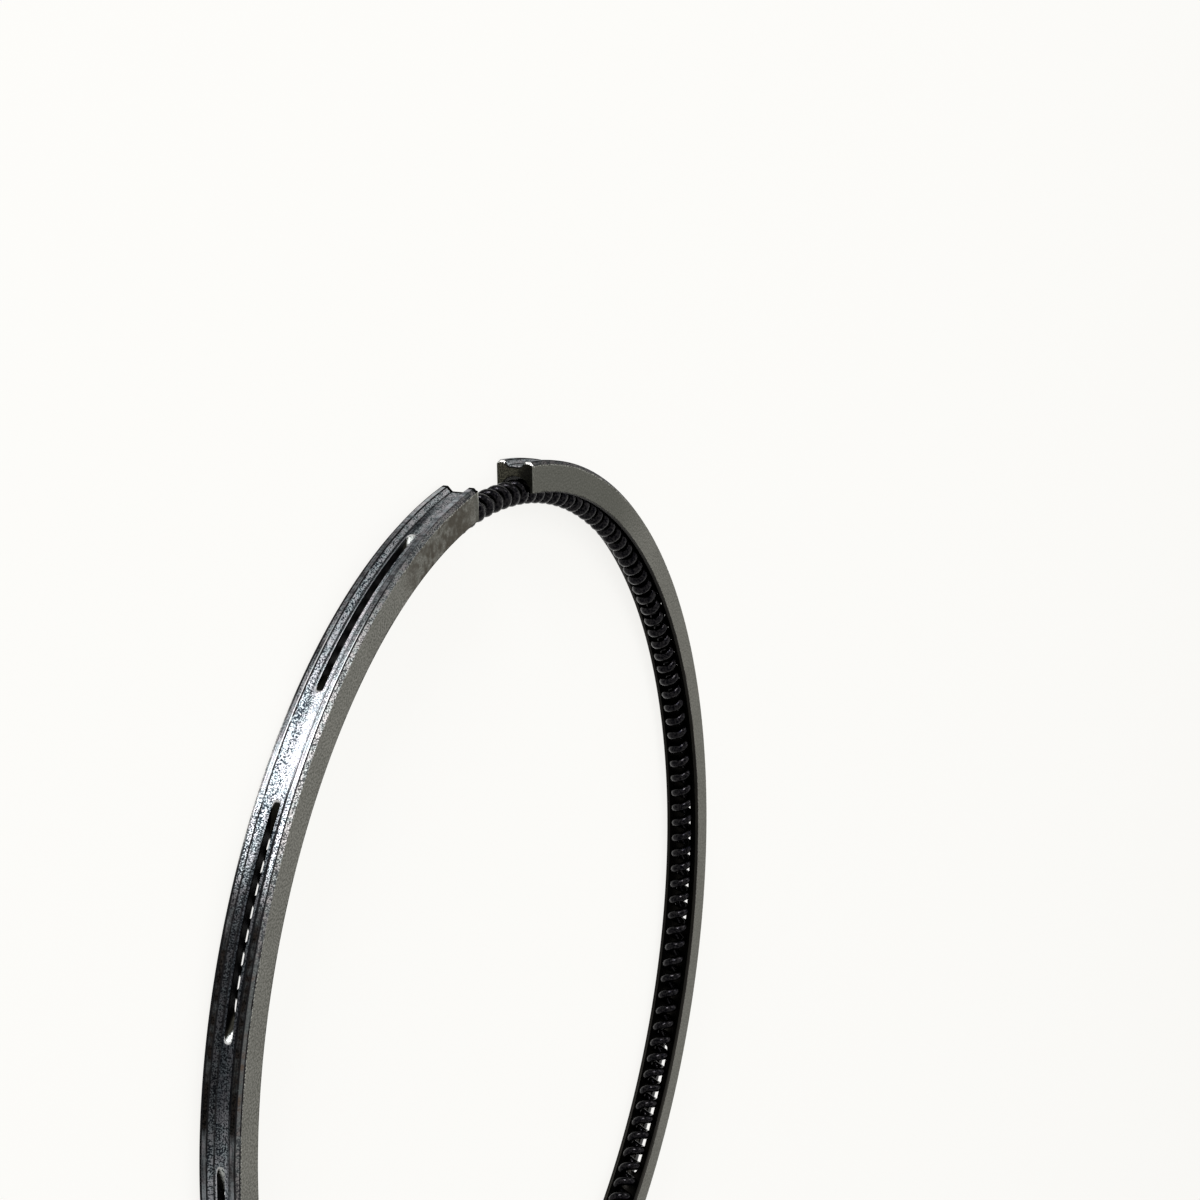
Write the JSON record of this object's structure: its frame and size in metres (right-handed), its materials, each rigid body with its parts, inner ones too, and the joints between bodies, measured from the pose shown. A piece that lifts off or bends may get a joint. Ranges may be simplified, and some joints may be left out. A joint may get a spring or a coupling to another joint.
{
  "type": "piston ring",
  "caption": "Slotted oil control piston ring of turned iron in its free state, with a coil spring in its inner groove.",
  "frame": {"origin": "on the ring's axis, level with the side face that it lies on", "axes": "+Z along the ring's axis towards the side face that is up; the gap between the ring's ends is centred on -Y"},
  "size_m": [0.094, 0.0937, 0.0035],
  "materials": {
    "ring_iron": "turned running face, ground side faces",
    "spring_steel": "black oxide",
    "latch_steel": "bright drawn wire"
  },
  "bodies": {
    "root": {"ring_body": "ring_iron", "coil_spring": "spring_steel", "latch_wire": "latch_steel"}
  },
  "joints": []
}
